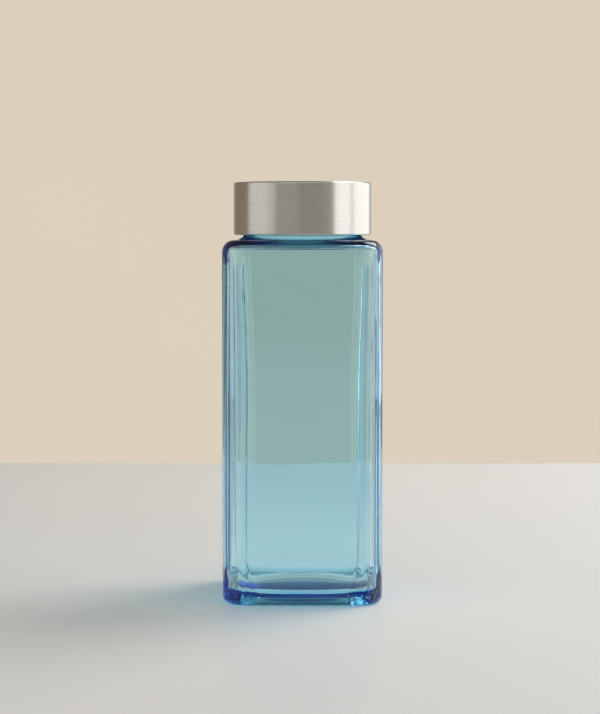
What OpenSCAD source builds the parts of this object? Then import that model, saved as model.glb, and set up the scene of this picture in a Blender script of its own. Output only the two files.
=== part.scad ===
// Square glass storage bottle with a brushed steel screw lid.
// Millimetres, +Z up. The origin is the centre of the base, on the surface the bottle stands on.

/* [Glass body] */
// Width of the body across its flat sides
body_w = 80; // [76:1:90]
// Height of the flat shoulder above the base
shoulder_h = 181.7; // [120:0.1:240]
// Radius of the four upright edges, seen from above
corner_r = 13; // [10:0.5:16]
// Radius of the outer edge round the base
heel_r = 4; // [2:0.5:6]
// Radius of the outer edge round the shoulder
shoulder_r = 6; // [3:0.5:6]

/* [Glass walls] */
// Thickness of the side walls
side_t = 3.2; // [2.4:0.1:4.4]
// Height of the inside floor at the foot of the walls
base_t = 5.6; // [5.4:0.1:8]
// Thickness of the shoulder
shoulder_t = 3.2; // [2.6:0.1:4.4]
// Radius of the upright edges of the inside
inner_corner_r = 6.5; // [6.5:0.5:9.5]
// Radius where the inside wall meets the inside floor
inner_heel_r = 3.5; // [2.5:0.5:6]
// Radius where the inside wall meets the underside of the shoulder
inner_shoulder_r = 2.5; // [2:0.5:5]
// Rise of the domed floor inside, at the middle
floor_dome_h = 2; // [1:0.1:3]
// Diameter of the domed floor
floor_dome_d = 64; // [50:1:66]

/* [Hollow under the base] */
// Width of the square hollow under the base
recess_w = 66; // [60:0.5:68]
// Radius of that hollow's upright edges
recess_corner_r = 8.5; // [6:0.5:11]
// Depth of that hollow along its sides
recess_h = 3.8; // [2:0.1:4]
// Depth of that hollow at the middle, where its roof is domed
punt_h = 4.6; // [4.2:0.1:5.2]
// Diameter of the domed part
punt_d = 52; // [40:1:56]

/* [Neck] */
// Diameter of the neck between its threads
neck_d = 60; // [56:0.5:61]
// Thickness of the neck wall
neck_t = 3.5; // [2.8:0.1:4.5]
// Diameter of the neck's sloping foot on the shoulder
neck_foot_d = 67; // [66:0.5:70]
// Rise of the foot from the shoulder to the sweep
neck_foot_h = 0.8; // [0.3:0.1:1.5]
// Radius of the hollow sweep from the foot up to the neck
neck_sweep_r = 2; // [1:0.1:2.4]
// Radius of the edges of the mouth
rim_r = 1.1; // [0.6:0.1:1.3]
// Height of the bead round the foot of the neck, above the shoulder
bead_h = 6.5; // [5.5:0.1:7.5]
// Distance that the bead stands out from the neck
bead_out = 1.2; // [0.6:0.1:1.4]

/* [Screw thread] */
// Number of thread starts
thread_starts = 3; // [2:1:4]
// Distance up the neck from one ridge to the next
thread_pitch = 4.5; // [4.2:0.1:5.2]
// Distance that a ridge stands out
thread_out = 1.8; // [1.4:0.1:2]
// Width of a ridge at its foot
thread_foot_w = 2.5; // [2.2:0.1:2.6]
// Width of a ridge at its crest
thread_crest_w = 1.1; // [0.8:0.1:1.4]
// Angle that each ridge turns through
thread_arc = 72; // [48:4:80]
// Depth of the highest point of the glass threads below the mouth
thread_below_rim = 3; // [2.4:0.1:4]

/* [Lid] */
// Height of the lid
lid_h = 26.6; // [25:0.1:32]
// Gap between the shoulder and the lid when it is shut
lid_gap = 2.4; // [1.5:0.1:5]
// Thickness of the steel sheet
sheet_t = 0.5; // [0.4:0.05:0.6]
// Radius of the top edge of the steel shell
shell_top_r = 0.9; // [0.8:0.1:2]
// Radius of the bottom edge of the steel shell
shell_foot_r = 0.7; // [0.5:0.05:1]
// Thickness of the insert's wall
insert_wall_t = 2.1; // [1.6:0.1:3]
// Thickness of the insert's top
insert_top_t = 1.6; // [1.2:0.1:2.4]
// Depth of the ring that centres the insert in the mouth
spigot_h = 3.4; // [2.6:0.1:4.5]
// Thickness of that ring
spigot_t = 1.2; // [0.9:0.1:1.8]

/* [Seal] */
// Thickness of the seal
seal_t = 1.6; // [1.2:0.1:2.2]
// Depth of the groove round the seal's edges
seal_groove = 0.35; // [0.2:0.05:0.5]

/* [Clearances] */
// Gap between a thread's crest and the wall it faces
crest_gap = 0.6; // [0.4:0.05:0.9]
// Gap between the flanks that bear on each other when the lid is tight
flank_gap = 0.3; // [0.25:0.05:0.4]
// Gap between the insert and the steel shell round it
shell_gap = 0.05; // [0.03:0.01:0.15]
// Gap between the centring ring and the mouth
spigot_gap = 0.5; // [0.3:0.05:0.8]
// Gap between the seal and the rings that hold it
seal_gap = 0.25; // [0.15:0.05:0.4]

/* [Hidden] */
$fn = 96;

// Heights
lid_z = shoulder_h + lid_gap;                        // lower edge of the lid
lid_top_z = lid_z + lid_h;                           // top of the lid
insert_top_z = lid_top_z - sheet_t;                  // top of the insert, on the shell
seal_z = insert_top_z - insert_top_t;                // top of the seal, on the insert
rim_z = seal_z - seal_t;                             // mouth of the bottle, under the seal
hem_z = lid_z + sheet_t;                             // top of the shell's turned-in foot

// Radii about the bottle's axis
neck_r = neck_d / 2;
bore_r = neck_r - neck_t;
crest_r = neck_r + thread_out;                       // crest of the glass thread
insert_bore_r = crest_r + crest_gap;                 // inside of the insert's wall
insert_crest_r = insert_bore_r - thread_out;         // crest of the insert's thread
insert_r = insert_bore_r + insert_wall_t;            // outside of the insert
shell_bore_r = insert_r + shell_gap;
shell_r = shell_bore_r + sheet_t;                    // outside of the lid
spigot_r = bore_r - spigot_gap;
seal_in_r = spigot_r + seal_gap;
seal_out_r = insert_bore_r - seal_gap;

// Thread
thread_lead = thread_pitch * thread_starts;          // rise in one turn of the lid
thread_rise = thread_lead * thread_arc / 360;        // rise along one ridge
thread_z = rim_z - thread_below_rim - (thread_foot_w + thread_rise) / 2;  // middle of the glass ridges
thread_tilt = atan(thread_lead / (PI * neck_d));     // slope of the thread
thread_root = 0.4;                                   // depth that a ridge is rooted in its wall

// The insert's ridge is one crest gap nearer its own wall than the glass ridge is, so on the line where
// both are the same distance from their feet their widths add up to this.
flank_slope = (thread_foot_w - thread_crest_w) / thread_out;
facing_w = thread_foot_w + thread_crest_w + flank_slope * -crest_gap;
insert_thread_drop = facing_w / 2 + flank_gap;       // drop of the insert's ridge below the glass ridge over it

// Points on an arc of n steps about c, from angle a to angle b
function arc(c, r, a, b, n = 10) =
    [for (i = [0:n]) c + r * [cos(a + (b - a) * i / n), sin(a + (b - a) * i / n)]];

// Radius of the ball whose cap is h high and 2 * r across
function cap_ball_r(r, h) = (r * r + h * h) / (2 * h);

// One ridge of a thread: a sector of a ring, tilted to the thread's slope about its own middle.
// foot_r is the wall's radius, and out is +1 where the ridge stands outwards and -1 where it stands inwards.
module ridge(foot_r, out, z) {
    root = [foot_r - out * thread_root, (thread_foot_w + flank_slope * thread_root) / 2];
    crest = [foot_r + out * thread_out, thread_crest_w / 2];
    translate([0, 0, z]) rotate([thread_tilt, 0, 0]) rotate(-thread_arc / 2)
        rotate_extrude(angle = thread_arc)
            polygon([[root.x, -root.y], [crest.x, -crest.y], [crest.x, crest.y], [root.x, root.y]]);
}

// All the ridges of a thread, with their middles at height z
module thread(foot_r, out, z) {
    for (k = [0:thread_starts - 1]) rotate(360 * k / thread_starts) ridge(foot_r, out, z);
}

// Upright section through the edge of a block, reach wide and from z0 to z1.
// Its outer corners are rounded with r0 below and r1 above.
module edge_section(reach, z0, r0, z1, r1) {
    translate([0, z0 + r0]) square([reach, z1 - r1 - z0 - r0]);
    translate([0, z0]) square([reach - r0, r0]);
    translate([0, z1 - r1]) square([reach - r1, r1]);
    intersection() {
        translate([reach - r0, z0 + r0]) circle(r0);
        translate([reach - r0, z0]) square(r0);
    }
    intersection() {
        translate([reach - r1, z1 - r1]) circle(r1);
        translate([reach - r1, z1 - r1]) square(r1);
    }
}

// A square block with round upright corners and rounded edges above and below:
// a core, four flat sides and four turned corners that meet face to face
module soft_block(w, corner, z0, r0, z1, r1) {
    flat = w - 2 * corner;
    translate([-flat / 2, -flat / 2, z0]) cube([flat, flat, z1 - z0]);
    for (turn = [0:90:270]) rotate(turn) translate([flat / 2, flat / 2, 0]) {
        rotate([90, 0, 0]) linear_extrude(flat) edge_section(corner, z0, r0, z1, r1);
        rotate_extrude(angle = 90) edge_section(corner, z0, r0, z1, r1);
    }
}

// Outside of the neck, from inside the shoulder up to the mouth
module neck() {
    foot_r = neck_foot_d / 2;
    sweep_c = [neck_r + neck_sweep_r, shoulder_h + neck_foot_h + neck_sweep_r];
    bead_c = [neck_r - bead_out, shoulder_h + bead_h];
    rotate_extrude() polygon(concat(
        [[0, shoulder_h - shoulder_t / 2], [foot_r, shoulder_h - shoulder_t / 2], [foot_r, shoulder_h]],
        arc(sweep_c, neck_sweep_r, 270, 180),
        arc(bead_c, 2 * bead_out, -60, 60),
        arc([neck_r - rim_r, rim_z - rim_r], rim_r, 0, 90, 6),
        [[0, rim_z]]));
}

// The hollow up through the neck, with round edges at the mouth and under the shoulder
module neck_hollow() {
    under_z = shoulder_h - shoulder_t;
    rotate_extrude() polygon(concat(
        [[0, under_z - inner_shoulder_r], [bore_r + rim_r, under_z - inner_shoulder_r]],
        arc([bore_r + shoulder_t / 2, under_z + shoulder_t / 2], shoulder_t / 2, 270, 180),
        arc([bore_r + rim_r, rim_z - rim_r], rim_r, 180, 90, 6),
        [[bore_r + rim_r, rim_z + 1], [0, rim_z + 1]]));
}

// The hollow of the body, with its domed floor
module body_hollow() {
    hollow_w = body_w - 2 * side_t;
    ball_r = cap_ball_r(floor_dome_d / 2, floor_dome_h);
    difference() {
        soft_block(hollow_w, inner_corner_r, base_t, inner_heel_r, shoulder_h - shoulder_t, inner_shoulder_r);
        translate([0, 0, base_t + floor_dome_h - ball_r]) sphere(ball_r);
    }
}

// The hollow under the base: a square recess with a shallow dome in its roof
module recess() {
    ball_r = cap_ball_r(punt_d / 2, punt_h - recess_h);
    soft_block(recess_w, recess_corner_r, -2, 1, recess_h, 0.5);
    intersection() {
        translate([0, 0, recess_h - 1]) cylinder(punt_h, r = punt_d / 2);
        translate([0, 0, punt_h - ball_r]) sphere(ball_r);
    }
}

module glass_bottle() {
    color("LightSkyBlue", 0.5) difference() {
        union() {
            soft_block(body_w, corner_r, 0, heel_r, shoulder_h, shoulder_r);
            neck();
            thread(neck_r, 1, thread_z);
        }
        body_hollow();
        neck_hollow();
        recess();
    }
}

// Drawn steel cup, turned in at the foot to hold the insert
module lid_shell() {
    color("Silver") rotate_extrude() difference() {
        polygon(concat(
            [[0, lid_z]],
            arc([shell_r - shell_foot_r, lid_z + shell_foot_r], shell_foot_r, 270, 360, 6),
            arc([shell_r - shell_top_r, lid_top_z - shell_top_r], shell_top_r, 0, 90, 8),
            [[0, lid_top_z]]));
        polygon(concat(
            [[0, hem_z], [shell_bore_r, hem_z]],
            arc([shell_r - shell_top_r, lid_top_z - shell_top_r], shell_top_r - sheet_t, 0, 90, 8),
            [[0, insert_top_z]]));
        translate([0, lid_z - 1]) square([insert_bore_r, sheet_t + 2]);
    }
}

// Moulded cup with the inside thread and a ring that centres it in the mouth
module lid_insert() {
    color("WhiteSmoke") {
        rotate_extrude() polygon(concat(
            [[0, seal_z], [spigot_r - spigot_t, seal_z], [spigot_r - spigot_t, seal_z - spigot_h],
             [spigot_r - spigot_t / 2, seal_z - spigot_h], [spigot_r, seal_z - spigot_h + spigot_t / 2],
             [spigot_r, seal_z], [insert_bore_r, seal_z], [insert_bore_r, hem_z + shell_gap],
             [insert_r, hem_z + shell_gap]],
            arc([insert_r - shell_top_r, insert_top_z - shell_top_r], shell_top_r, 0, 90, 8),
            [[0, insert_top_z]]));
        thread(insert_bore_r, -1, thread_z - insert_thread_drop);
    }
}

// Flat ring with a groove round its inner and outer edges
module seal_ring() {
    groove_z = rim_z + seal_t / 2;
    color("Gainsboro") rotate_extrude() polygon([
        [seal_in_r, rim_z], [seal_out_r, rim_z],
        [seal_out_r, groove_z - seal_groove], [seal_out_r - seal_groove, groove_z],
        [seal_out_r, groove_z + seal_groove],
        [seal_out_r, seal_z], [seal_in_r, seal_z],
        [seal_in_r, groove_z + seal_groove], [seal_in_r + seal_groove, groove_z],
        [seal_in_r, groove_z - seal_groove]]);
}

glass_bottle();
lid_shell();
lid_insert();
seal_ring();
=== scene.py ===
"""Looks of a square glass storage bottle with a brushed steel screw lid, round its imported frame."""
import math

import bpy
import numpy as np
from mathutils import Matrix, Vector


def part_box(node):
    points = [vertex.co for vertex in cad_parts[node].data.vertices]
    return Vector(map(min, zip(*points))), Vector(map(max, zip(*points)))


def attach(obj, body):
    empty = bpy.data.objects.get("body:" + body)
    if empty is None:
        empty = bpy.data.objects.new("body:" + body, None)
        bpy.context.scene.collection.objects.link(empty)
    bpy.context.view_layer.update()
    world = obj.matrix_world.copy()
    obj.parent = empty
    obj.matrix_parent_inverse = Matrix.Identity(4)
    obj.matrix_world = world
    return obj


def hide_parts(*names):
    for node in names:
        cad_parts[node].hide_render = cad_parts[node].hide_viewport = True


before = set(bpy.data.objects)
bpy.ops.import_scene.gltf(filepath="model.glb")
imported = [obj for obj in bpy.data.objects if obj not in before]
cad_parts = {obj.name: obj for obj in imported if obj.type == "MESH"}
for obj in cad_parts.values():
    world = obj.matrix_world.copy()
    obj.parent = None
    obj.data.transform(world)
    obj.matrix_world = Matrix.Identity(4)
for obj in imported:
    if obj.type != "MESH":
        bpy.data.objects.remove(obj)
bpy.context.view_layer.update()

bl_info = {
    "name": "Square Glass Bottle",
    "version": (1, 0, 0),
    "blender": (4, 5, 0),
    "location": "View3D > Sidebar > Bottle",
    "description": "Dresses a square glass bottle and its steel screw lid",
    "category": "Add Mesh",
}

MM = 0.001
SAME = 0.001 * MM  # lengths that differ by less than this count as equal
TURN = 2 * math.pi
QUARTER = math.pi / 2

# Sizes that the frame holds, in metres
GLASS_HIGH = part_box("glass_bottle")[1]
SHELL_LOW, SHELL_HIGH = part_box("lid_shell")
INSERT_LOW, INSERT_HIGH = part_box("lid_insert")
SEAL_LOW, SEAL_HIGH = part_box("seal_ring")
BODY_HALF = GLASS_HIGH.x
RIM_Z = GLASS_HIGH.z
LID_RADIUS = SHELL_HIGH.x
LID_Z, LID_TOP_Z = SHELL_LOW.z, SHELL_HIGH.z
SEAL_Z = SEAL_HIGH.z


# ---------------------------------------------------------------- sizes and colours

def length(name, description, default_mm, low_mm=0.0, high_mm=400.0):
    """A property that holds a length, given in millimetres and kept in metres."""
    return bpy.props.FloatProperty(
        name=name, description=description, default=default_mm * MM,
        min=low_mm * MM, max=high_mm * MM, precision=5, subtype="DISTANCE", unit="LENGTH")


def number(name, description, default, low=0.0, high=1.0):
    """A property that holds a plain number."""
    return bpy.props.FloatProperty(
        name=name, description=description, default=default, min=low, max=high, precision=3)


def colour(name, description, default):
    """A property that holds a colour, as linear red, green and blue."""
    return bpy.props.FloatVectorProperty(
        name=name, description=description, default=default, min=0.0, max=1.0, subtype="COLOR")


class BottleSizes(bpy.types.PropertyGroup):
    """Sizes of the glass"""

    corner: length("Corner radius", "Radius of the four upright edges outside", 13)
    heel: length("Heel radius", "Radius of the edge round the base", 4)
    shoulder: length("Shoulder radius", "Radius of the edge round the shoulder", 6)
    shoulder_z: length("Shoulder height", "Height of the flat shoulder", 181.7)
    foot_radius: length("Neck foot", "Radius of the neck's sloping foot on the shoulder", 33.5)
    foot_rise: length("Foot rise", "Rise of the foot from the shoulder to the sweep", 0.8)
    side: length("Side wall", "Thickness of the side walls at half height", 3.2)
    base: length("Base", "Height of the floor inside at the foot of the walls", 5.6)
    shoulder_wall: length("Shoulder wall", "Thickness of the shoulder", 3.2)
    inner_corner: length("Inner corner radius", "Radius of the upright edges inside", 6.5)
    inner_heel: length("Inner heel radius", "Radius where the wall meets the floor inside", 3.5)
    inner_shoulder: length("Inner shoulder radius", "Radius where the wall meets the shoulder", 2.5)
    dome_rise: length("Floor dome", "Rise of the floor inside at its middle", 2)
    floor_radius: length("Floor radius", "Radius of the round floor inside", 32)
    punt_rise: length("Punt", "Depth of the hollow under the base at its middle", 4.6)
    punt_radius: length("Punt radius", "Radius of the domed middle of that hollow", 26)
    recess_half: length("Recess", "Half the width of the square hollow under the base", 33.5)
    recess_corner: length("Recess corner", "Corner radius of that hollow", 9)
    recess_rise: length("Recess rise", "Depth of that hollow at its edge", 3.8)
    bevel: length("Bevel", "Width of the sloping edge of that hollow", 3.0)
    neck_radius: length("Neck radius", "Radius of the neck between its threads", 30)
    neck_wall: length("Neck wall", "Thickness of the neck", 3.5)
    sweep: length("Neck sweep", "Radius of the sweep from the foot to the neck", 2)
    rim: length("Rim radius", "Radius of the edges of the mouth", 1.1)
    bead_z: length("Bead height", "Height of the bead above the shoulder", 6.5)
    bead_out: length("Bead", "Distance that the bead stands out", 1.2)
    bead_half: length("Bead half-height", "Half of the bead's height", 2.4)
    wave: length("Waviness", "Unevenness of the inside of the walls", 0.04)
    flute: length("Flutes", "Height of the upright ripples inside the corners", 0.5)


class ThreadSizes(bpy.types.PropertyGroup):
    """Sizes of the screw thread"""

    lead: length("Lead", "Rise in one turn of the lid", 13.5)
    out: length("Height", "Distance that a ridge stands out", 1.8)
    foot: length("Foot", "Width of a ridge at its foot", 2.5)
    crest: length("Crest", "Width of a ridge at its crest", 1.1)
    below_rim: length("Depth", "Depth of the glass threads below the mouth", 3)
    drop: length("Drop", "Drop of the insert's ridges below the glass ones", 1.867)
    arc: bpy.props.FloatProperty(
        name="Arc", description="Angle that each ridge turns through",
        default=math.radians(72), subtype="ANGLE", unit="ROTATION")
    starts: bpy.props.IntProperty(
        name="Starts", description="Number of thread starts", default=3, min=1, max=6)


class LidSizes(bpy.types.PropertyGroup):
    """Sizes of the lid and its seal"""

    sheet: length("Sheet", "Thickness of the steel", 0.5)
    top_edge: length("Top edge", "Radius of the shell's top edge", 0.9)
    foot_edge: length("Foot edge", "Radius of the shell's bottom edge", 0.7)
    dish: length("Dish", "Depth of the shallow dish in the lid's top", 0.12)
    wall: length("Insert wall", "Thickness of the insert's wall", 2.1)
    top: length("Insert top", "Thickness of the insert's top", 1.6)
    gap: length("Shell gap", "Gap between the insert and the shell", 0.05)
    spigot: length("Spigot", "Thickness of the ring that centres the lid", 1.2)
    spigot_h: length("Spigot depth", "Depth of that ring", 3.4)
    spigot_gap: length("Spigot gap", "Gap between that ring and the mouth", 0.5)
    seal_gap: length("Seal gap", "Gap between that ring and the seal", 0.25)
    groove: length("Seal groove", "Depth of the groove round the seal's edges", 0.35)


class Finishes(bpy.types.PropertyGroup):
    """Colours and finishes"""

    glass_tint: colour(
        "Glass tint", "Colour that a long way through the glass leaves", (0.071, 0.735, 0.915))
    glass_depth: bpy.props.FloatProperty(
        name="Glass depth", description="How strongly each metre of glass takes up colour",
        default=140.0, min=0.0, max=1000.0)
    glass_index: number("Glass index", "Refractive index of the glass", 1.51, 1.0, 2.0)
    stipple: number("Stipple", "Strength of the stippling at the heel's corners", 0.6)
    stipple_scale: number("Stipple scale", "Closeness of the stippling", 420.0, 10.0, 5000.0)
    shade: colour(
        "Shade", "Share of a lamp's light that each surface of the glass lets by", (0.87, 0.87, 0.86))
    steel: colour("Steel", "Colour of the brushed steel", (0.60, 0.58, 0.55))
    steel_rough: number("Steel roughness", "Roughness of the brushed steel", 0.28)
    insert: colour("Insert", "Colour of the moulded insert", (0.78, 0.78, 0.75))
    seal: colour("Seal", "Colour of the silicone seal", (0.66, 0.67, 0.65))


class StageLook(bpy.types.PropertyGroup):
    """The floor, the backdrop, the lamps and the camera"""

    floor: colour("Floor", "Colour of the floor", (0.92, 0.905, 0.875))
    wall: colour("Backdrop", "Colour of the backdrop", (0.735, 0.64, 0.515))
    flank: colour("Flanks", "Colour of the panels on either side of the backdrop", (0.5, 0.52, 0.52))
    wing: colour("Wing", "Colour of the panel at the back on the left", (0.36, 0.285, 0.2))
    room: colour("Room", "Colour of the panel behind the camera", (0.2, 0.18, 0.155))
    # Painted light: share and colour of a painted glow on the floor under and behind the glass
    gathered: number(
        "Gathered light", "Share of the floor's look under the glass that is gathered light", 0.55)
    gathered_tint: colour("Gathered light colour", "Colour of that light", (1.0, 0.9, 0.8))
    floor_end: length("Floor end", "Distance from the bottle to the floor's far edge", 550, 100, 5000)
    wall_y: length("Backdrop distance", "Distance from the bottle to the backdrop", 3000, 100, 9000)
    wall_half: length("Backdrop half-width", "Half of the backdrop's width", 640, 100, 5000)
    # Painted shade: the backdrop's middle is only this bright where the glass shows it
    wall_middle: number("Backdrop middle", "Brightness of its middle where the glass shows it", 0.88)
    window: number("Windows", "Brightness of the two tall soft boxes on the right", 1.35, 0.0, 20.0)
    fill: number("Fill", "Brightness of the broad soft box on the left", 0.62, 0.0, 20.0)
    edge: number("Edge", "Brightness of the narrow soft box on the left", 0.434, 0.0, 20.0)
    top: number("Top", "Brightness of the high soft box at the back on the right", 5.0, 0.0, 20.0)
    front: number("Front", "Brightness of the soft box behind the camera", 1.25, 0.0, 20.0)
    sky: number("Sky", "Strength of the light from all round, near the horizon", 0.34, 0.0, 10.0)
    zenith: number("Zenith", "Strength of the light from overhead", 0.17, 0.0, 10.0)
    sky_tint: colour("Sky colour", "Colour of the even light from all round", (1.0, 0.92, 0.82))
    window_tint: colour(
        "Window colour", "Colour of the soft boxes on the right and of the high one", (0.96, 0.98, 1.0))
    camera_distance: length("Camera distance", "Distance from the axis to the camera", 1013.6, 100, 5000)
    camera_height: length("Camera height", "Height of the camera above the floor", 190.4, 0, 2000)
    lens: number("Lens", "Focal length of the camera, in millimetres", 100.0, 10.0, 500.0)
    tilt: bpy.props.FloatProperty(
        name="Tilt", description="Angle that the camera looks down",
        default=math.radians(3.88), subtype="ANGLE", unit="ROTATION")
    swing: bpy.props.FloatProperty(
        name="Swing", description="Angle that the camera is turned to the left",
        default=math.radians(0.07), subtype="ANGLE", unit="ROTATION")


# ---------------------------------------------------------------- surfaces

def skin(name, points, track, start_pole=None, end_pole=None):
    """Closes a grid of points into one skin.

    Rows run along a profile, and columns go round the axis and meet themselves. Face (i, j) joins
    row i to row i + 1 between columns j and j + 1. A pole closes an end with a fan; without poles
    the last row joins the first. track holds the distance along the profile at each row, in metres,
    and the UV map holds (angle times the lid's radius, track), so that a pattern can follow it.
    """
    rows, columns = points.shape[:2]
    ring = start_pole is None
    index = np.arange(rows * columns).reshape(rows, columns)
    across = np.roll(index, -1, axis=1)
    low = index if ring else index[:-1]
    low_next = across if ring else across[:-1]
    high = np.roll(index, -1, axis=0) if ring else index[1:]
    high_next = np.roll(across, -1, axis=0) if ring else across[1:]
    quads = np.stack([low, low_next, high_next, high], axis=-1).reshape(-1, 4)

    turn = np.arange(columns + 1) / columns * TURN * LID_RADIUS
    along = np.append(track, 2 * track[-1] - track[-2]) if ring else track
    left, right = np.meshgrid(turn[:-1], along[:-1])[0], np.meshgrid(turn[1:], along[:-1])[0]
    under, over = np.meshgrid(turn[:-1], along[:-1])[1], np.meshgrid(turn[:-1], along[1:])[1]
    quad_uv = np.stack([left, under, right, under, right, over, left, over], axis=-1).reshape(-1, 2)

    vertices = points.reshape(-1, 3)
    triangles = np.empty((0, 3), int)
    triangle_uv = np.empty((0, 2))
    for pole, row, step in ((start_pole, 0, -1), (end_pole, rows - 1, 1)):
        if pole is None:
            continue
        tip = len(vertices)
        vertices = np.vstack([vertices, pole])
        edge, edge_next = index[row], across[row]
        order = (edge, edge_next) if step > 0 else (edge_next, edge)
        triangles = np.vstack([triangles, np.stack([*order, np.full(columns, tip)], axis=-1)])
        near, far = (turn[:-1], turn[1:]) if step > 0 else (turn[1:], turn[:-1])
        middle = (near + far) / 2
        v_edge = np.full(columns, track[row])
        v_tip = v_edge + step * np.hypot(*(points[row, 0] - pole)[:2])
        triangle_uv = np.vstack([
            triangle_uv, np.stack([near, v_edge, far, v_edge, middle, v_tip], axis=-1).reshape(-1, 2)])

    mesh = bpy.data.meshes.new(name)
    corners = np.concatenate([quads.ravel(), triangles.ravel()])
    starts = np.concatenate([
        np.arange(len(quads)) * 4, len(quads) * 4 + np.arange(len(triangles)) * 3])
    mesh.vertices.add(len(vertices))
    mesh.vertices.foreach_set("co", vertices.ravel())
    mesh.loops.add(len(corners))
    mesh.loops.foreach_set("vertex_index", corners)
    mesh.polygons.add(len(starts))
    mesh.polygons.foreach_set("loop_start", starts)
    mesh.polygons.foreach_set("use_smooth", np.ones(len(starts), bool))
    mesh.update(calc_edges=True)
    layer = mesh.uv_layers.new(name="Path")
    layer.data.foreach_set("uv", np.vstack([quad_uv, triangle_uv]).ravel())
    if mesh.validate():
        raise RuntimeError(name + " came out as a broken mesh")
    piece = bpy.data.objects.new(name, mesh)
    bpy.context.scene.collection.objects.link(piece)
    return piece


def arc(centre, radius, start, end, count):
    """Points on an arc: centre plus radius times (cosine, sine) of angles from start to end, which
    are in degrees."""
    angle = np.radians(np.linspace(start, end, count))
    return np.stack([centre[0] + radius * np.cos(angle), centre[1] + radius * np.sin(angle)], axis=-1)


def line(start, end, count):
    """Points at even steps on a straight line from start to end."""
    return np.linspace(start, end, count)


def joined(*stretches):
    """Stretches of a profile, or of rows, one after another, with those that repeat left out."""
    path = np.vstack(stretches)
    step = np.linalg.norm(np.diff(path, axis=0), axis=1)
    return path[np.concatenate([[True], step > SAME])]


def distance_along(path):
    """The distance along a path at each of its points."""
    step = np.linalg.norm(np.diff(path[:, :2], axis=0), axis=1)
    return np.concatenate([[0.0], np.cumsum(step)])


def turned(profile, angles):
    """A profile of (radius, height) points turned round the axis: (r cos a, r sin a, z)."""
    radius, height = profile[:, 0, None], profile[:, 1, None]
    return np.stack([radius * np.cos(angles), radius * np.sin(angles), height + 0 * angles], axis=-1)


def plan_radius(angle, half, corner):
    """Distance from the axis to a square with round corners.

    With f the angle from the nearest side's middle and k = half - corner, it is half / cos f on the
    side, and k (cos f + sin f) + sqrt(corner^2 - k^2 (cos f - sin f)^2) on the corner's arc.
    A square whose corner radius is its half-width is a circle.
    """
    fold = np.abs(np.mod(angle + QUARTER / 2, QUARTER) - QUARTER / 2)
    k = half - corner
    side = half / np.cos(fold)
    inside = np.maximum(corner ** 2 - k ** 2 * (np.cos(fold) - np.sin(fold)) ** 2, 0.0)
    round_corner = k * (np.cos(fold) + np.sin(fold)) + np.sqrt(inside)
    return np.where(half * np.tan(fold) <= k, side, round_corner)


def plan_angles(side_count, corner_count, corner_share):
    """Angles round the axis, closer together where the square's corners are."""
    edge = (1 - corner_share) * QUARTER / 2  # where a side ends and a corner starts
    side = np.linspace(-edge, edge, side_count, endpoint=False)
    corner = np.linspace(edge, QUARTER - edge, corner_count, endpoint=False)
    quarter = np.concatenate([side, corner])
    return np.concatenate([quarter + k * QUARTER for k in range(4)])


def smooth(x):
    """A smooth step from 0 to 1: 3 x^2 - 2 x^3."""
    x = np.clip(x, 0.0, 1.0)
    return x * x * (3 - 2 * x)


def ridge_height(angle, z, middle_z, thread):
    """How far a screw thread stands out at an angle and a height.

    Each start's ridge follows z = middle + lead * angle / turn. Across it, the height falls from the
    crest's edge to the foot's by a smooth step, and at the ridge's two ends it fades by another.
    """
    fade = math.radians(14)
    height = np.zeros(np.broadcast(angle, z).shape)
    for k in range(thread.starts):
        off = np.mod(angle - k * TURN / thread.starts + math.pi, TURN) - math.pi
        away = np.abs(z - middle_z - thread.lead * off / TURN)
        across = smooth((thread.foot / 2 - away) / ((thread.foot - thread.crest) / 2))
        ends = smooth((thread.arc / 2 - np.abs(off)) / fade)
        height = np.maximum(height, thread.out * across * ends)
    return height


# ---------------------------------------------------------------- the glass

def rolled(half, corner, centre_z, radius, start, end, count):
    """Rows over a rolled edge: the half-width and the corner radius both move by the arc's cosine.
    Every row of the glass holds a half-width, a corner radius and a height."""
    edge = arc((half - radius, centre_z), radius, start, end, count)
    return np.stack([edge[:, 0], corner - half + edge[:, 0], edge[:, 1]], axis=-1)


def bowl(half, corner, floor_radius, floor_z, rise, count):
    """Rows from an upright square wall down to a round floor: the half-width and the corner radius
    both close in on the floor's radius as the sine of a quarter turn, while the height falls as its
    cosine."""
    turn = np.linspace(QUARTER, 0, count)
    reach = np.sin(turn)
    return np.stack([
        floor_radius + (half - floor_radius) * reach, floor_radius + (corner - floor_radius) * reach,
        floor_z + rise * (1 - np.cos(turn))], axis=-1)


def cap(radius, edge_z, rise, count):
    """Points of (radius, height) on a shallow ball cap, from near its middle out to its edge."""
    ball = (radius ** 2 + rise ** 2) / (2 * rise)
    edge = math.degrees(math.asin(radius / ball))
    return arc((0, edge_z + rise - ball), ball, 89.9, 90 - edge, count)


def circles(profile):
    """Rows that are circles, from a profile of (radius, height)."""
    return profile[:, [0, 0, 1]]


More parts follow.
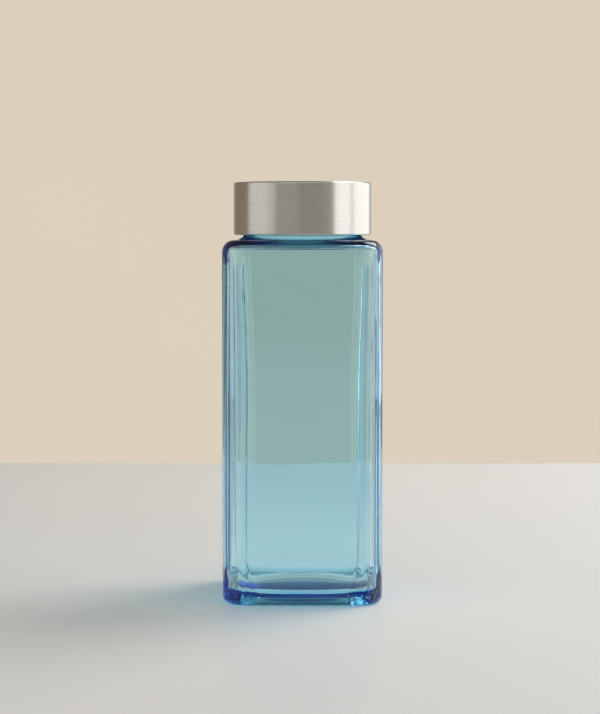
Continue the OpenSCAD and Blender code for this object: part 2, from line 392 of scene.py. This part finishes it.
def glass_rows(s):
    """The rows of the glass, from the middle of the base outside, over the rim, to the floor inside."""
    half, top = BODY_HALF, s.shoulder_z
    flat_half = half - s.heel
    sweep_r = s.neck_radius + s.sweep
    sweep_z = top + s.foot_rise + s.sweep
    bore = s.neck_radius - s.neck_wall
    in_half = half - s.side
    in_top = top - s.shoulder_wall
    square = 0.3 * MM  # a round row turns into a square one over this step

    outside = joined(
        circles(cap(s.punt_radius, s.recess_rise, s.punt_rise - s.recess_rise, 12)),
        line((s.punt_radius + square, s.punt_radius + square, s.recess_rise),
             (s.recess_half - s.bevel, s.recess_corner - s.bevel, s.recess_rise), 8),
        line((s.recess_half - s.bevel, s.recess_corner - s.bevel, s.recess_rise),
             (s.recess_half, s.recess_corner, 0), 7),
        line((s.recess_half + 0.2 * MM, s.recess_corner + 0.2 * MM, 0),
             (flat_half, s.corner - s.heel, 0), 5),
        rolled(half, s.corner, s.heel, s.heel, 270, 360, 16),
        line((half, s.corner, s.heel), (half, s.corner, top - s.shoulder), 8),
        rolled(half, s.corner, top - s.shoulder, s.shoulder, 0, 90, 18),
        line((half - s.shoulder, s.corner - s.shoulder, top),
             (s.foot_radius, s.foot_radius, top), 12),
        circles(line((s.foot_radius, top), (sweep_r, top + s.foot_rise), 4)),
        circles(arc((sweep_r, sweep_z), s.sweep, 270, 180, 10)),
        circles(line((s.neck_radius, sweep_z), (s.neck_radius, RIM_Z - s.rim), 92)),
        circles(arc((s.neck_radius - s.rim, RIM_Z - s.rim), s.rim, 0, 90, 10)))
    under = (bore + s.shoulder_wall / 2, in_top + s.shoulder_wall / 2)
    inside = joined(
        circles(arc((bore + s.rim, RIM_Z - s.rim), s.rim, 90, 180, 10)),
        circles(line((bore, RIM_Z - s.rim), (bore, under[1]), 10)),
        circles(arc(under, s.shoulder_wall / 2, 180, 270, 12)),
        line((under[0] + square, under[0] + square, in_top),
             (in_half - s.inner_shoulder, s.inner_corner - s.inner_shoulder, in_top), 12),
        rolled(in_half, s.inner_corner, in_top - s.inner_shoulder, s.inner_shoulder, 90, 0, 14),
        line((in_half, s.inner_corner, in_top - s.inner_shoulder),
             (in_half, s.inner_corner, s.base + s.inner_heel), 50),
        bowl(in_half, s.inner_corner, s.floor_radius, s.base, s.inner_heel, 20),
        circles(cap(s.floor_radius, s.base, s.dome_rise, 14)[::-1]))
    return outside, inside


# Flutes on each side of a wall: distance from the side's middle, width, height, and drift lower
# down. Lengths are in millimetres, and heights are shares of the flutes' height.
FLUTES = ((28.5, 0.55, 2.2, 2.0), (30.8, 1.1, -1.2, 1.6), (33.0, 1.0, 1.1, 1.0))
DRIFT_TOP, DRIFT_FALL = 178 * MM, 70 * MM  # the drift starts at this height and takes this fall
WANDER, WANDER_STEP = 0.35 * MM, 47 * MM  # how far a flute strays, and over what height

# Heights over which the slow wave inside the walls turns through a radian, and the distances from
# the floor and from the shoulder over which wave and flutes fade out
LONG_WAVE, SHORT_WAVE = 31 * MM, 13 * MM
FLOOR_FADE, SHOULDER_FADE = 8 * MM, 7 * MM


def flutes(angle, z, half):
    """Upright ripples that blowing leaves inside the corners, as shares of the flutes' height.

    away is the distance along the side from its middle. Each ripple is a bell curve in it, whose
    middle strays by a sine of the height and drifts towards the side's middle lower down. The first
    is the edge of the flat panel.
    """
    fold = np.mod(angle + QUARTER / 2, QUARTER) - QUARTER / 2
    away = half * np.tan(np.abs(fold))
    side = np.sign(fold) + 2 * np.floor((angle + QUARTER / 2) / QUARTER)
    low = smooth((DRIFT_TOP - z) / DRIFT_FALL)
    total = np.zeros(np.broadcast(angle, z).shape)
    for place, width, height, drift in FLUTES:
        middle = (place - drift * low) * MM + WANDER * np.sin(z / WANDER_STEP + 2.1 * side + place)
        total += height * np.exp(-((away - middle) / (width * MM)) ** 2)
    return total


def glass_points(s, thread):
    """The points of the glass, as rows and columns.

    Each point lies at plan_radius(angle, half, corner) from the axis. On the neck the thread and the
    bead are added. Inside the walls the flutes and a slow wave, the sum of two sines, are added, and
    both fade out near the floor and the shoulder.
    """
    angles = plan_angles(side_count=18, corner_count=54, corner_share=0.36)
    outside, inside = glass_rows(s)
    out_z, in_z = outside[:, 2, None], inside[:, 2, None]
    out_radius = plan_radius(angles, outside[:, 0, None], outside[:, 1, None])
    rise = thread.lead * thread.arc / TURN
    middle = RIM_Z - thread.below_rim - (thread.foot + rise) / 2
    on_neck = (outside[:, 0, None] < s.neck_radius + SAME) & (out_z > s.shoulder_z)
    ridges = ridge_height(angles, out_z, middle, thread)
    bead_away = np.abs(out_z - s.shoulder_z - s.bead_z) / s.bead_half
    bead = s.bead_out * np.sqrt(np.maximum(1 - bead_away ** 2, 0.0))
    out_radius = out_radius + np.where(on_neck, np.maximum(ridges, bead), 0.0)

    in_radius = plan_radius(angles, inside[:, 0, None], inside[:, 1, None])
    above_floor = smooth((in_z - s.base - FLOOR_FADE) / FLOOR_FADE)
    below_shoulder = smooth((s.shoulder_z - SHOULDER_FADE - in_z) / SHOULDER_FADE)
    slow = np.sin(in_z / LONG_WAVE + 3 * angles) + 0.6 * np.sin(in_z / SHORT_WAVE - 5 * angles)
    ripple = s.wave * slow + s.flute * flutes(angles, in_z, BODY_HALF - s.side)
    in_radius = in_radius + above_floor * below_shoulder * ripple

    radius = np.vstack([out_radius, in_radius])
    z = np.broadcast_to(np.vstack([out_z, in_z]), radius.shape)
    points = np.stack([radius * np.cos(angles), radius * np.sin(angles), z], axis=-1)
    track = distance_along(np.vstack([outside, inside])[:, [0, 2]])
    return points, track


class BOTTLE_OT_glass(bpy.types.Operator):
    """Make the glass bottle, as one skin over its outside and its inside"""

    bl_idname = "bottle.glass"
    bl_label = "Glass bottle"

    def execute(self, context):
        s = context.scene.bottle_sizes
        points, track = glass_points(s, context.scene.thread_sizes)
        piece = skin(
            "bottle_glass", points, track,
            start_pole=(0, 0, s.punt_rise), end_pole=(0, 0, s.base + s.dome_rise))
        piece.data.materials.append(tinted_glass(context.scene.finishes))
        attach(piece, "bottle")
        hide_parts("glass_bottle")
        return {"FINISHED"}


# ---------------------------------------------------------------- the lid

POLE_GAP = 0.5 * MM  # radius of the ring of points round a pole


def even_angles(count):
    """Angles at even steps once round the axis."""
    return np.arange(count) / count * TURN


class BOTTLE_OT_shell(bpy.types.Operator):
    """Make the drawn steel shell of the lid"""

    bl_idname = "bottle.shell"
    bl_label = "Steel shell"

    def execute(self, context):
        s = context.scene.lid_sizes
        outer, inner = LID_RADIUS, LID_RADIUS - s.sheet
        centre_r, centre_z = outer - s.top_edge, LID_TOP_Z - s.top_edge
        insert_bore = INSERT_HIGH.x - s.wall
        under_z, over_z = LID_TOP_Z - s.sheet - s.dish, LID_TOP_Z - s.dish
        dish_r, ring_r = centre_r - 3 * MM, centre_r - 2 * MM
        profile = joined(
            line((POLE_GAP, under_z), (dish_r, under_z), 20),
            line((ring_r, LID_TOP_Z - s.sheet), (centre_r, LID_TOP_Z - s.sheet), 4),
            arc((centre_r, centre_z), s.top_edge - s.sheet, 90, 0, 10),
            line((inner, centre_z), (inner, LID_Z + s.sheet), 24),
            line((inner, LID_Z + s.sheet), (insert_bore, LID_Z + s.sheet), 5),
            line((insert_bore, LID_Z), (outer - s.foot_edge, LID_Z), 5),
            arc((outer - s.foot_edge, LID_Z + s.foot_edge), s.foot_edge, 270, 360, 8),
            line((outer, LID_Z + s.foot_edge), (outer, centre_z), 40),
            arc((centre_r, centre_z), s.top_edge, 0, 90, 12),
            line((centre_r, LID_TOP_Z), (ring_r, LID_TOP_Z), 4),
            line((dish_r, over_z), (POLE_GAP, over_z), 30))
        piece = skin(
            "lid_steel_shell", turned(profile, even_angles(256)), distance_along(profile),
            start_pole=(0, 0, under_z), end_pole=(0, 0, over_z))
        piece.data.materials.append(brushed_steel(context.scene.finishes))
        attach(piece, "lid")
        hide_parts("lid_shell")
        return {"FINISHED"}


class BOTTLE_OT_insert(bpy.types.Operator):
    """Make the moulded insert with its inside thread"""

    bl_idname = "bottle.insert"
    bl_label = "Threaded insert"

    def execute(self, context):
        s = context.scene.lid_sizes
        thread = context.scene.thread_sizes
        glass = context.scene.bottle_sizes
        outer, top, low = INSERT_HIGH.x, INSERT_HIGH.z - s.dish, INSERT_LOW.z
        bore = outer - s.wall
        ring_out = glass.neck_radius - glass.neck_wall - s.spigot_gap
        ring_in = ring_out - s.spigot
        ring_z = SEAL_Z - s.spigot_h
        nose = s.spigot / 2
        soft, top_soft = 0.4 * MM, 1.3 * MM
        profile = joined(
            line((POLE_GAP, SEAL_Z), (ring_in - soft, SEAL_Z), 14),
            arc((ring_in - soft, SEAL_Z - soft), soft, 90, 0, 5),
            line((ring_in, SEAL_Z - soft), (ring_in, ring_z + nose), 6),
            arc((ring_in + nose, ring_z + nose), nose, 180, 360, 13),
            line((ring_out, ring_z + nose), (ring_out, SEAL_Z), 6),
            line((ring_out, SEAL_Z), (bore, SEAL_Z), 6),
            line((bore, SEAL_Z), (bore, low + soft), 110),
            arc((bore + soft, low + soft), soft, 180, 270, 6),
            arc((outer - soft, low + soft), soft, 270, 360, 6),
            line((outer, low + soft), (outer, top - top_soft), 12),
            arc((outer - top_soft, top - top_soft), top_soft, 0, 90, 8),
            line((outer - top_soft, top), (POLE_GAP, top), 10))
        angles = even_angles(240)
        points = turned(profile, angles)
        rise = thread.lead * thread.arc / TURN
        middle = RIM_Z - thread.below_rim - (thread.foot + rise) / 2 - thread.drop
        radius, z = profile[:, 0, None], profile[:, 1, None]
        on_bore = np.abs(radius - bore) < SAME
        inward = np.where(on_bore, ridge_height(angles, z, middle, thread), 0.0)
        points[..., 0] -= inward * np.cos(angles)
        points[..., 1] -= inward * np.sin(angles)
        piece = skin(
            "lid_threaded_insert", points, distance_along(profile),
            start_pole=(0, 0, SEAL_Z), end_pole=(0, 0, top))
        piece.data.materials.append(moulded_plastic(context.scene.finishes))
        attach(piece, "lid")
        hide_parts("lid_insert")
        return {"FINISHED"}


class BOTTLE_OT_seal(bpy.types.Operator):
    """Make the silicone ring that seals the lid to the rim"""

    bl_idname = "bottle.seal"
    bl_label = "Seal"

    def execute(self, context):
        s = context.scene.lid_sizes
        glass = context.scene.bottle_sizes
        outer, low, high = SEAL_HIGH.x, SEAL_LOW.z, SEAL_HIGH.z
        inner = glass.neck_radius - glass.neck_wall - s.spigot_gap + s.seal_gap
        middle, dip, soft = (low + high) / 2, s.groove, 0.3 * MM
        profile = joined(
            line((inner + soft, low), (outer - soft, low), 8),
            arc((outer - soft, low + soft), soft, 270, 360, 6),
            line((outer, low + soft), (outer, middle - dip), 2),
            arc((outer, middle), dip, 270, 90, 9),
            line((outer, middle + dip), (outer, high - soft), 2),
            arc((outer - soft, high - soft), soft, 0, 90, 6),
            line((outer - soft, high), (inner + soft, high), 8),
            arc((inner + soft, high - soft), soft, 90, 180, 6),
            line((inner, high - soft), (inner, middle + dip), 2),
            arc((inner, middle), dip, 90, -90, 9),
            line((inner, middle - dip), (inner, low + soft), 2),
            arc((inner + soft, low + soft), soft, 180, 262, 6))
        piece = skin("lid_seal", turned(profile, even_angles(192)), distance_along(profile))
        piece.data.materials.append(silicone(context.scene.finishes))
        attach(piece, "seal")
        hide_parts("seal_ring")
        return {"FINISHED"}


# ---------------------------------------------------------------- materials

def shader(name):
    """A new material with its node tree, its main shader and its output."""
    material = bpy.data.materials.new(name)
    material.use_nodes = True
    nodes = material.node_tree.nodes
    return material, material.node_tree, nodes["Principled BSDF"], nodes["Material Output"]


def noise(tree, vector, scale, detail=3.0, rough=0.5):
    """A Noise Texture at a scale, reading a vector output."""
    node = tree.nodes.new("ShaderNodeTexNoise")
    node.inputs["Scale"].default_value = scale
    node.inputs["Detail"].default_value = detail
    node.inputs["Roughness"].default_value = rough
    tree.links.new(vector, node.inputs["Vector"])
    return node


def stretched(tree, vector, scale):
    """A Mapping node that stretches a vector by a scale along each axis."""
    node = tree.nodes.new("ShaderNodeMapping")
    node.inputs["Scale"].default_value = scale
    tree.links.new(vector, node.inputs["Vector"])
    return node.outputs["Vector"]


def ranged(tree, value, low, high, to_low, to_high):
    """A Map Range node from low..high to to_low..to_high."""
    node = tree.nodes.new("ShaderNodeMapRange")
    for key, setting in (("From Min", low), ("From Max", high), ("To Min", to_low), ("To Max", to_high)):
        node.inputs[key].default_value = setting
    tree.links.new(value, node.inputs["Value"])
    return node.outputs["Result"]


def math_node(tree, operation, first, second):
    """A Math node on two outputs."""
    node = tree.nodes.new("ShaderNodeMath")
    node.operation = operation
    tree.links.new(first, node.inputs[0])
    tree.links.new(second, node.inputs[1])
    return node.outputs["Value"]


def mixed(tree, share, first, second, output):
    """A Mix Shader node from one shader to another by a share, linked to a surface output."""
    node = tree.nodes.new("ShaderNodeMixShader")
    tree.links.new(share, node.inputs["Fac"])
    tree.links.new(first, node.inputs[1])
    tree.links.new(second, node.inputs[2])
    tree.links.new(node.outputs["Shader"], output.inputs["Surface"])


def separated(tree, vector):
    """The X, Y and Z outputs of a vector."""
    node = tree.nodes.new("ShaderNodeSeparateXYZ")
    tree.links.new(vector, node.inputs["Vector"])
    return node.outputs


def absolute(tree, value):
    """The size of a value without its sign."""
    node = tree.nodes.new("ShaderNodeMath")
    node.operation = "ABSOLUTE"
    tree.links.new(value, node.inputs[0])
    return node.outputs["Value"]


def bump(tree, height, strength, distance):
    """A Bump node from a height."""
    node = tree.nodes.new("ShaderNodeBump")
    node.inputs["Strength"].default_value = strength
    node.inputs["Distance"].default_value = distance
    tree.links.new(height, node.inputs["Height"])
    return node.outputs["Normal"]


def tinted_glass(f):
    """Clear glass that takes up colour with depth, with the faint unevenness of blown glass. Lamps
    shine straight through it, a little weaker at each surface."""
    material, tree, main, output = shader("blue_green_glass")
    main.inputs["Base Color"].default_value = (1, 1, 1, 1)
    main.inputs["Roughness"].default_value = 0.0
    main.inputs["IOR"].default_value = f.glass_index
    main.inputs["Transmission Weight"].default_value = 1.0
    coordinates = tree.nodes.new("ShaderNodeTexCoord")
    slow = noise(tree, coordinates.outputs["Object"], 28.0, 1.0)
    wavy = bump(tree, slow.outputs["Fac"], 0.12, 0.4 * MM)
    # Stippling round the heel's four corners: it comes in between two distances from the middles of
    # the sides, and goes out between two heights
    corner_start, corner_full, heel_full, heel_end = 21 * MM, 25 * MM, 6 * MM, 9 * MM
    parts = separated(tree, coordinates.outputs["Object"])
    nearer = math_node(tree, "MINIMUM", absolute(tree, parts["X"]), absolute(tree, parts["Y"]))
    at_corner = ranged(tree, nearer, corner_start, corner_full, 0.0, 1.0)
    at_heel = ranged(tree, parts["Z"], heel_end, heel_full, 0.0, 1.0)
    dots = noise(tree, coordinates.outputs["Object"], f.stipple_scale, 1.0)
    place = math_node(tree, "MULTIPLY", at_corner, at_heel)
    height = math_node(tree, "MULTIPLY", dots.outputs["Fac"], place)
    stippled = bump(tree, height, f.stipple, 1.5 * MM)
    tree.links.new(wavy, stippled.node.inputs["Normal"])
    tree.links.new(stippled, main.inputs["Normal"])
    depth = tree.nodes.new("ShaderNodeVolumeAbsorption")
    depth.inputs["Color"].default_value = (*f.glass_tint, 1)
    depth.inputs["Density"].default_value = f.glass_depth
    tree.links.new(depth.outputs["Volume"], output.inputs["Volume"])
    path = tree.nodes.new("ShaderNodeLightPath")
    clear = tree.nodes.new("ShaderNodeBsdfTransparent")
    clear.inputs["Color"].default_value = (*f.shade, 1)
    mixed(tree, path.outputs["Is Shadow Ray"], main.outputs["BSDF"], clear.outputs["BSDF"], output)
    return material


def brushed_steel(f):
    """Stainless steel brushed round its axis: fine lines along the UV map's first axis, which bend
    its highlights, and an anisotropic gloss along them, over slow changes in roughness."""
    material, tree, main, _ = shader("brushed_stainless_steel")
    path = tree.nodes.new("ShaderNodeUVMap")
    path.uv_map = "Path"
    tangent = tree.nodes.new("ShaderNodeTangent")
    tangent.direction_type = "UV_MAP"
    tangent.uv_map = "Path"
    # Lines to the metre: few along the brushing, and thousands across it
    fine_lines, coarse_lines = (45.0, 9000.0, 1.0), (18.0, 2200.0, 1.0)
    fine = noise(tree, stretched(tree, path.outputs["UV"], fine_lines), 1.0, 2.0)
    coarse = noise(tree, stretched(tree, path.outputs["UV"], coarse_lines), 1.0, 2.0)
    lines = math_node(tree, "ADD", fine.outputs["Fac"], coarse.outputs["Fac"])
    tree.links.new(tangent.outputs["Tangent"], main.inputs["Tangent"])
    tree.links.new(bump(tree, lines, 0.015, 0.02 * MM), main.inputs["Normal"])
    tree.links.new(
        ranged(tree, coarse.outputs["Fac"], 0.3, 0.7, f.steel_rough - 0.03, f.steel_rough + 0.03),
        main.inputs["Roughness"])
    main.inputs["Base Color"].default_value = (*f.steel, 1)
    main.inputs["Metallic"].default_value = 1.0
    main.inputs["Anisotropic"].default_value = 0.7
    main.inputs["Anisotropic Rotation"].default_value = 0.25
    return material


def moulded_plastic(f):
    """Natural white polypropylene with the fine grain of its mould."""
    material, tree, main, _ = shader("moulded_polypropylene")
    coordinates = tree.nodes.new("ShaderNodeTexCoord")
    grain = noise(tree, coordinates.outputs["Object"], 2500.0, 3.0)
    patches = noise(tree, coordinates.outputs["Object"], 60.0, 2.0)
    tree.links.new(bump(tree, grain.outputs["Fac"], 0.2, 0.03 * MM), main.inputs["Normal"])
    tree.links.new(ranged(tree, patches.outputs["Fac"], 0.3, 0.7, 0.36, 0.48), main.inputs["Roughness"])
    main.inputs["Base Color"].default_value = (*f.insert, 1)
    main.inputs["Subsurface Weight"].default_value = 0.15
    main.inputs["Subsurface Scale"].default_value = 1.5 * MM
    return material


def silicone(f):
    """Soft milky silicone with a faint dusty sheen."""
    material, tree, main, _ = shader("milky_silicone")
    coordinates = tree.nodes.new("ShaderNodeTexCoord")
    dust = noise(tree, coordinates.outputs["Object"], 900.0, 4.0)
    tree.links.new(ranged(tree, dust.outputs["Fac"], 0.3, 0.7, 0.42, 0.6), main.inputs["Roughness"])
    tree.links.new(bump(tree, dust.outputs["Fac"], 0.1, 0.02 * MM), main.inputs["Normal"])
    main.inputs["Base Color"].default_value = (*f.seal, 1)
    main.inputs["Subsurface Weight"].default_value = 0.4
    main.inputs["Subsurface Scale"].default_value = 2 * MM
    return material


def matt(name, tint, rough, tone_scale, tone):
    """A plain dull finish for the stage, with slow changes of tone."""
    material, tree, main, _ = shader(name)
    coordinates = tree.nodes.new("ShaderNodeTexCoord")
    cloud = noise(tree, coordinates.outputs["Object"], tone_scale, 3.0)
    tones = tree.nodes.new("ShaderNodeMix")
    tones.data_type = "RGBA"
    tree.links.new(cloud.outputs["Fac"], tones.inputs[0])
    # Sockets 6 and 7 of a Mix node are its two colours, and 2 is the colour that comes out
    tones.inputs[6].default_value = (*(c * (1 - tone) for c in tint), 1)
    tones.inputs[7].default_value = (*tint, 1)
    tree.links.new(tones.outputs[2], main.inputs["Base Color"])
    main.inputs["Roughness"].default_value = rough
    return material


def glowing(name, tint, tone_scale, tone, middle=1.0):
    """A finish that looks the same whatever light falls on it: camera rays, and those that metal and
    glass send on, see its colour, and all others see a plain dull surface. Through glass, its upright
    middle carries painted shade: it is as bright as middle says, and fades into the rest on both sides."""
    material = matt(name, tint, 0.8, tone_scale, tone)
    tree = material.node_tree
    main, output = tree.nodes["Principled BSDF"], tree.nodes["Material Output"]
    path = tree.nodes.new("ShaderNodeLightPath")
    glow = tree.nodes.new("ShaderNodeEmission")
    tree.links.new(main.inputs["Base Color"].links[0].from_socket, glow.inputs["Color"])
    across = separated(tree, tree.nodes.new("ShaderNodeTexCoord").outputs["Object"])["X"]
    # Painted shade: a darker upright middle that only rays through the glass see
    middle_painted_shade = ranged(tree, absolute(tree, across), 110 * MM, 220 * MM, 1 - middle, 0.0)
    middle_painted_shade = math_node(tree, "MULTIPLY", middle_painted_shade, path.outputs["Is Transmission Ray"])
    tree.links.new(ranged(tree, middle_painted_shade, 0.0, 1.0, 1.0, 0.0), glow.inputs["Strength"])
    seen = path.outputs["Is Camera Ray"]
    for ray in ("Is Glossy Ray", "Is Transmission Ray"):
        seen = math_node(tree, "MAXIMUM", seen, path.outputs[ray])
    mixed(tree, seen, main.outputs["BSDF"], glow.outputs["Emission"], output)
    return material


def floor_with_painted_glow(look):
    """The floor, with a painted pool of light under and behind the bottle: an emission that only rays
    that come through the glass see, standing in for the light that the glass gathers there. It fades
    with the distance from the bottle."""
    material = matt("pale_floor", look.floor, 0.4, 6.0, 0.04)
    tree = material.node_tree
    main, output = tree.nodes["Principled BSDF"], tree.nodes["Material Output"]
    path = tree.nodes.new("ShaderNodeLightPath")
    distance = tree.nodes.new("ShaderNodeVectorMath")
    distance.operation = "LENGTH"
    tree.links.new(tree.nodes.new("ShaderNodeTexCoord").outputs["Object"], distance.inputs[0])
    # Painted light: the share of the painted glow, full near the bottle, that stands in for gathered
    # light
    share = ranged(tree, distance.outputs["Value"], 60 * MM, 400 * MM, look.gathered, 0.0)
    share = math_node(tree, "MULTIPLY", share, path.outputs["Is Transmission Ray"])
    glow = tree.nodes.new("ShaderNodeEmission")
    glow.inputs["Color"].default_value = (*look.gathered_tint, 1)
    mixed(tree, share, main.outputs["BSDF"], glow.outputs["Emission"], output)
    return material


# ---------------------------------------------------------------- the stage

def sheet(name, corner, across, along, material, seen=True):
    """A flat stage piece: corner plus shares of two edge vectors. One that isn't to be seen is left
    out of camera rays only, so that metal and glass still show it."""
    corner, across, along = map(np.array, (corner, across, along))
    mesh = bpy.data.meshes.new(name)
    mesh.from_pydata(
        [corner, corner + across, corner + across + along, corner + along], [], [(0, 1, 2, 3)])
    mesh.materials.append(material)
    piece = bpy.data.objects.new(name, mesh)
    piece.visible_camera = seen
    bpy.context.scene.collection.objects.link(piece)


def soft_box(name, place, target, size, brightness, tint=(1, 1, 1)):
    """A large rectangular lamp at a place, facing a target. Its power is pi * area * brightness, which
    makes its face as bright as a world of that strength."""
    lamp = bpy.data.lights.new(name, "AREA")
    lamp.shape = "RECTANGLE"
    lamp.size, lamp.size_y = size
    lamp.energy = math.pi * size[0] * size[1] * brightness
    lamp.color = tint
    holder = bpy.data.objects.new(name, lamp)
    holder.location = place
    aim = np.array(target) - np.array(place)
    holder.rotation_euler = (
        math.atan2(math.hypot(aim[0], aim[1]), -aim[2]), 0, math.atan2(aim[0], -aim[1]) + math.pi)
    bpy.context.scene.collection.objects.link(holder)


def round_axis(turn, reach, z):
    """A place at an angle round the bottle and a target on its axis, level with it. The angle is in
    degrees, from the camera's side towards the right."""
    angle = math.radians(turn)
    return (reach * math.sin(angle), -reach * math.cos(angle), z), (0, 0, z)


def set_sheets(look):
    """The floor, the backdrop between two flanks, and two panels that only metal and glass see.

    Lengths are in metres. The floor lies a little below the bottle, so that the two don't share a
    plane. All that stands up is far away, so that it is behind a camera on any side of the bottle.
    """
    far, half, drop = look.wall_y, look.wall_half, 0.1 * MM
    sheet("floor", (-3, -3, -drop), (6, 0, 0), (0, 3 + look.floor_end, 0), floor_with_painted_glow(look))
    sheet("backdrop", (-half, far, -0.4), (2 * half, 0, 0), (0, 0, 1.15),
          glowing("pale_backdrop", look.wall, 1.2, 0.05, look.wall_middle))
    flank = glowing("pale_flank", look.flank, 1.0, 0.05)
    for name, start in (("left_flank", -half - 1), ("right_flank", half)):
        sheet(name, (start, far, -0.6), (1, 0, 0), (0, 0, 1.4), flank, seen=False)
    sheet("wooden_wing", (-0.85, 1.87, -0.8), (-2.55, -1.19, 0), (0, 0, 3.1),
          glowing("pale_wood", look.wing, 1.5, 0.25), seen=False)
    sheet("dim_screen", (-0.3, -2.6, -0.3), (2.4, 0, 0), (0, 0, 1.8),
          glowing("dim_room", look.room, 1.5, 0.1), seen=False)


def set_world(look):
    """Even light that is weaker overhead: its strength goes from sky to zenith as the upward share
    of its direction goes from low to high. Camera rays see the backdrop's colour instead."""
    low, high = 0.1, 0.5
    world = bpy.data.worlds.new("soft_sky")
    world.use_nodes = True
    tree = world.node_tree
    background = tree.nodes["Background"]
    background.inputs["Color"].default_value = (*look.sky_tint, 1)
    up = separated(tree, tree.nodes.new("ShaderNodeTexCoord").outputs["Generated"])["Z"]
    tree.links.new(ranged(tree, up, low, high, look.sky, look.zenith), background.inputs["Strength"])
    pale = tree.nodes.new("ShaderNodeBackground")
    pale.inputs["Color"].default_value = (*look.wall, 1)
    mixed(tree, tree.nodes.new("ShaderNodeLightPath").outputs["Is Camera Ray"],
          background.outputs["Background"], pale.outputs["Background"], tree.nodes["World Output"])
    bpy.context.scene.world = world


def set_lamps(look):
    """Two tall windows on the right, two soft boxes on the left, one high at the back and one high
    behind the camera. Each has its place and target, and its width and height, in metres."""
    cool = look.window_tint
    soft_box("near_window", *round_axis(71, 1.1, 0.7), (0.68, 1.4), look.window, cool)
    soft_box("far_window", *round_axis(120, 1.1, 0.7), (1.17, 1.4), look.window, cool)
    soft_box("left_fill", *round_axis(-78.5, 1.2, 0.6), (0.94, 1.2), look.fill)
    soft_box("left_edge", *round_axis(-51, 1.2, 0.6), (0.25, 1.2), look.edge)
    soft_box("top_light", (0.8, 0.6, 1.3), (0, 0, 0), (0.9, 0.8), look.top, cool)
    soft_box("front_light", (0, -1.8, 1.3), (0, 0, 0.1), (3.4, 0.8), look.front)


def set_camera(look):
    """The camera, in front of the bottle and looking a little down."""
    camera = bpy.data.cameras.new("camera")
    camera.lens = look.lens
    camera.sensor_width = 36.0
    camera.clip_start, camera.clip_end = 0.05, 30.0
    holder = bpy.data.objects.new("camera", camera)
    holder.location = (0, -look.camera_distance, look.camera_height)
    holder.rotation_euler = (QUARTER - look.tilt, 0, look.swing)
    bpy.context.scene.collection.objects.link(holder)
    bpy.context.scene.camera = holder


class BOTTLE_OT_stage(bpy.types.Operator):
    """Set the floor, the backdrop, the lamps and the camera"""

    bl_idname = "bottle.stage"
    bl_label = "Stage"

    def execute(self, context):
        scene = context.scene
        look = scene.stage_look
        scene.view_settings.view_transform = "Standard"
        # Light that enters the edge of a glass wall is turned back many times before it leaves
        scene.cycles.max_bounces = 24
        scene.cycles.glossy_bounces = 20
        scene.cycles.transmission_bounces = 20
        set_sheets(look)
        set_world(look)
        set_lamps(look)
        set_camera(look)
        return {"FINISHED"}


# ---------------------------------------------------------------- the add-on

class BOTTLE_PT_panel(bpy.types.Panel):
    """Lists the bottle's pieces in the sidebar"""

    bl_label = "Bottle"
    bl_idname = "BOTTLE_PT_panel"
    bl_space_type = "VIEW_3D"
    bl_region_type = "UI"
    bl_category = "Bottle"

    def draw(self, context):
        column = self.layout.column(align=True)
        for operator in OPERATORS:
            column.operator(operator.bl_idname)
        for group in GROUPS:
            settings = getattr(context.scene, group)
            box = self.layout.box()
            for key in settings.bl_rna.properties.keys():
                if key not in {"rna_type", "name"}:
                    box.prop(settings, key)


OPERATORS = (BOTTLE_OT_stage, BOTTLE_OT_glass, BOTTLE_OT_shell, BOTTLE_OT_insert, BOTTLE_OT_seal)
GROUPS = {
    "bottle_sizes": BottleSizes,
    "thread_sizes": ThreadSizes,
    "lid_sizes": LidSizes,
    "finishes": Finishes,
    "stage_look": StageLook,
}


def register():
    """Add the sizes, the colours and the operators to Blender."""
    for group in (*GROUPS.values(), *OPERATORS, BOTTLE_PT_panel):
        bpy.utils.register_class(group)
    for name, group in GROUPS.items():
        setattr(bpy.types.Scene, name, bpy.props.PointerProperty(type=group))


def unregister():
    """Take away what register added."""
    for name in GROUPS:
        delattr(bpy.types.Scene, name)
    for group in (BOTTLE_PT_panel, *reversed(OPERATORS), *reversed(GROUPS.values())):
        bpy.utils.unregister_class(group)


def main():
    """Build the stage and every piece."""
    register()
    bpy.ops.bottle.stage()
    bpy.ops.bottle.glass()
    bpy.ops.bottle.shell()
    bpy.ops.bottle.insert()
    bpy.ops.bottle.seal()
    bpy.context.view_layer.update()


if __name__ == "__main__":
    main()
